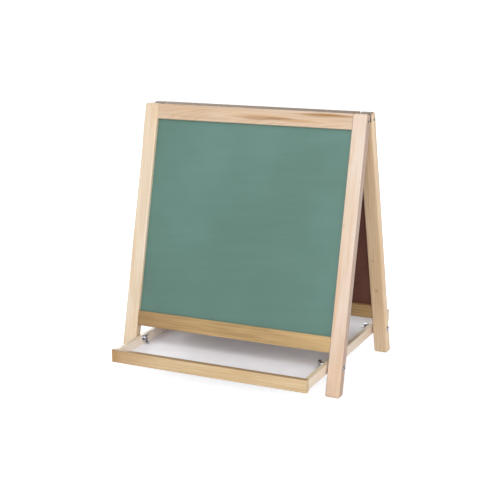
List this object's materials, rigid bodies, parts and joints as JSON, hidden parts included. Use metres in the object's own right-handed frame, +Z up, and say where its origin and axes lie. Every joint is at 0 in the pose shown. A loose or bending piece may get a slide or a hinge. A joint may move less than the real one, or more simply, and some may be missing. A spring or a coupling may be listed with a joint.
{
  "type": "magnetic desk whiteboard easel",
  "caption": "Table-top folding A-frame easel with a magnetic green chalkboard, a magnetic white marker board and a shared tray held by wing nuts.",
  "frame": {"origin": "on the floor, midway between the feet, under the hinge line", "axes": "+X along the hinge line to the right as seen from the chalkboard side, +Y towards the marker board side, +Z up"},
  "size_m": [0.4758, 0.4684, 0.513],
  "materials": {
    "stile_wood": "clear satin lacquer on pale pine",
    "top_rail_wood": "clear satin lacquer, brown cathedral grain",
    "bottom_rail_wood": "clear satin lacquer, olive brown straight grain",
    "tray_end_wood": "clear satin lacquer, golden tan",
    "tray_side_wood": "clear satin lacquer, pale",
    "dowel_wood": "bare birch",
    "chalk_face": "matt green chalk enamel",
    "marker_face": "gloss white dry-erase enamel",
    "hardboard": "bare dark brown hardboard",
    "tray_floor_white": "white coated hardboard",
    "zinc_hardware": "bright zinc plate",
    "hinge_steel": "zinc plated sheet steel",
    "screw_steel": "zinc plated"
  },
  "bodies": {
    "front_assembly": {"front_left_stile": "stile_wood", "front_right_stile": "stile_wood", "front_top_rail": "top_rail_wood", "front_bottom_rail": "bottom_rail_wood", "front_chalk_face": "chalk_face", "front_backer": "hardboard", "front_rail_screws": "screw_steel", "front_rail_dowels": "dowel_wood", "left_hinge_front_plate": "hinge_steel", "left_hinge_pin": "hinge_steel", "right_hinge_front_plate": "hinge_steel", "right_hinge_pin": "hinge_steel", "front_hinge_screws": "screw_steel", "tray_front_rail": "tray_end_wood", "tray_rear_rail": "tray_end_wood", "tray_left_rail": "tray_side_wood", "tray_right_rail": "tray_side_wood", "tray_floor": "tray_floor_white", "tray_corner_brads": "screw_steel", "tray_floor_brads": "screw_steel", "front_left_bolt": "zinc_hardware", "front_right_bolt": "zinc_hardware", "rear_left_bolt": "zinc_hardware", "rear_right_bolt": "zinc_hardware", "front_left_hex_nut": "zinc_hardware", "front_right_hex_nut": "zinc_hardware", "rear_left_hex_nut": "zinc_hardware", "rear_right_hex_nut": "zinc_hardware"},
    "rear_leaf": {"rear_left_stile": "stile_wood", "rear_right_stile": "stile_wood", "rear_top_rail": "top_rail_wood", "rear_bottom_rail": "bottom_rail_wood", "rear_marker_face": "marker_face", "rear_backer": "hardboard", "rear_rail_screws": "screw_steel", "rear_rail_dowels": "dowel_wood", "left_hinge_rear_plate": "hinge_steel", "right_hinge_rear_plate": "hinge_steel", "rear_hinge_screws": "screw_steel"},
    "front_left_washer": {"front_left_washer": "zinc_hardware"},
    "front_left_wing_nut": {"front_left_wing_nut": "zinc_hardware"},
    "front_right_washer": {"front_right_washer": "zinc_hardware"},
    "front_right_wing_nut": {"front_right_wing_nut": "zinc_hardware"},
    "rear_left_washer": {"rear_left_washer": "zinc_hardware"},
    "rear_left_wing_nut": {"rear_left_wing_nut": "zinc_hardware"},
    "rear_right_washer": {"rear_right_washer": "zinc_hardware"},
    "rear_right_wing_nut": {"rear_right_wing_nut": "zinc_hardware"}
  },
  "joints": [
    {"name": "leaf_fold", "type": "hinge", "parent": "front_assembly", "child": "rear_leaf", "pos_m": [0, 0, 0.509], "axis": [-1, 0, 0], "range_deg": [0, 28.4]},
    {"name": "front_left_nut_travel", "type": "slide", "parent": "front_assembly", "child": "front_left_washer", "axis": [1, 0, 0], "range_m": [0, 0.0064]},
    {"name": "front_left_nut_turn", "type": "hinge", "parent": "front_left_washer", "child": "front_left_wing_nut", "pos_m": [-0.19, -0.12739, 0.0549], "axis": [1, 0, 0], "range_deg": [0, 2160]},
    {"name": "front_right_nut_travel", "type": "slide", "parent": "front_assembly", "child": "front_right_washer", "axis": [-1, 0, 0], "range_m": [0, 0.0064]},
    {"name": "front_right_nut_turn", "type": "hinge", "parent": "front_right_washer", "child": "front_right_wing_nut", "pos_m": [0.19, -0.12739, 0.0549], "axis": [-1, 0, 0], "range_deg": [0, 2160]},
    {"name": "rear_left_nut_travel", "type": "slide", "parent": "front_assembly", "child": "rear_left_washer", "axis": [1, 0, 0], "range_m": [0, 0.0064]},
    {"name": "rear_left_nut_turn", "type": "hinge", "parent": "rear_left_washer", "child": "rear_left_wing_nut", "pos_m": [-0.19, 0.12739, 0.0549], "axis": [1, 0, 0], "range_deg": [0, 2160]},
    {"name": "rear_right_nut_travel", "type": "slide", "parent": "front_assembly", "child": "rear_right_washer", "axis": [-1, 0, 0], "range_m": [0, 0.0064]},
    {"name": "rear_right_nut_turn", "type": "hinge", "parent": "rear_right_washer", "child": "rear_right_wing_nut", "pos_m": [0.19, 0.12739, 0.0549], "axis": [-1, 0, 0], "range_deg": [0, 2160]}
  ],
  "couplings": [
    {"joint": "front_left_nut_travel", "follows": "front_left_nut_turn", "m_per_rad": 0.00016844},
    {"joint": "front_right_nut_travel", "follows": "front_right_nut_turn", "m_per_rad": 0.00016844},
    {"joint": "rear_left_nut_travel", "follows": "rear_left_nut_turn", "m_per_rad": 0.00016844},
    {"joint": "rear_right_nut_travel", "follows": "rear_right_nut_turn", "m_per_rad": 0.00016844}
  ]
}
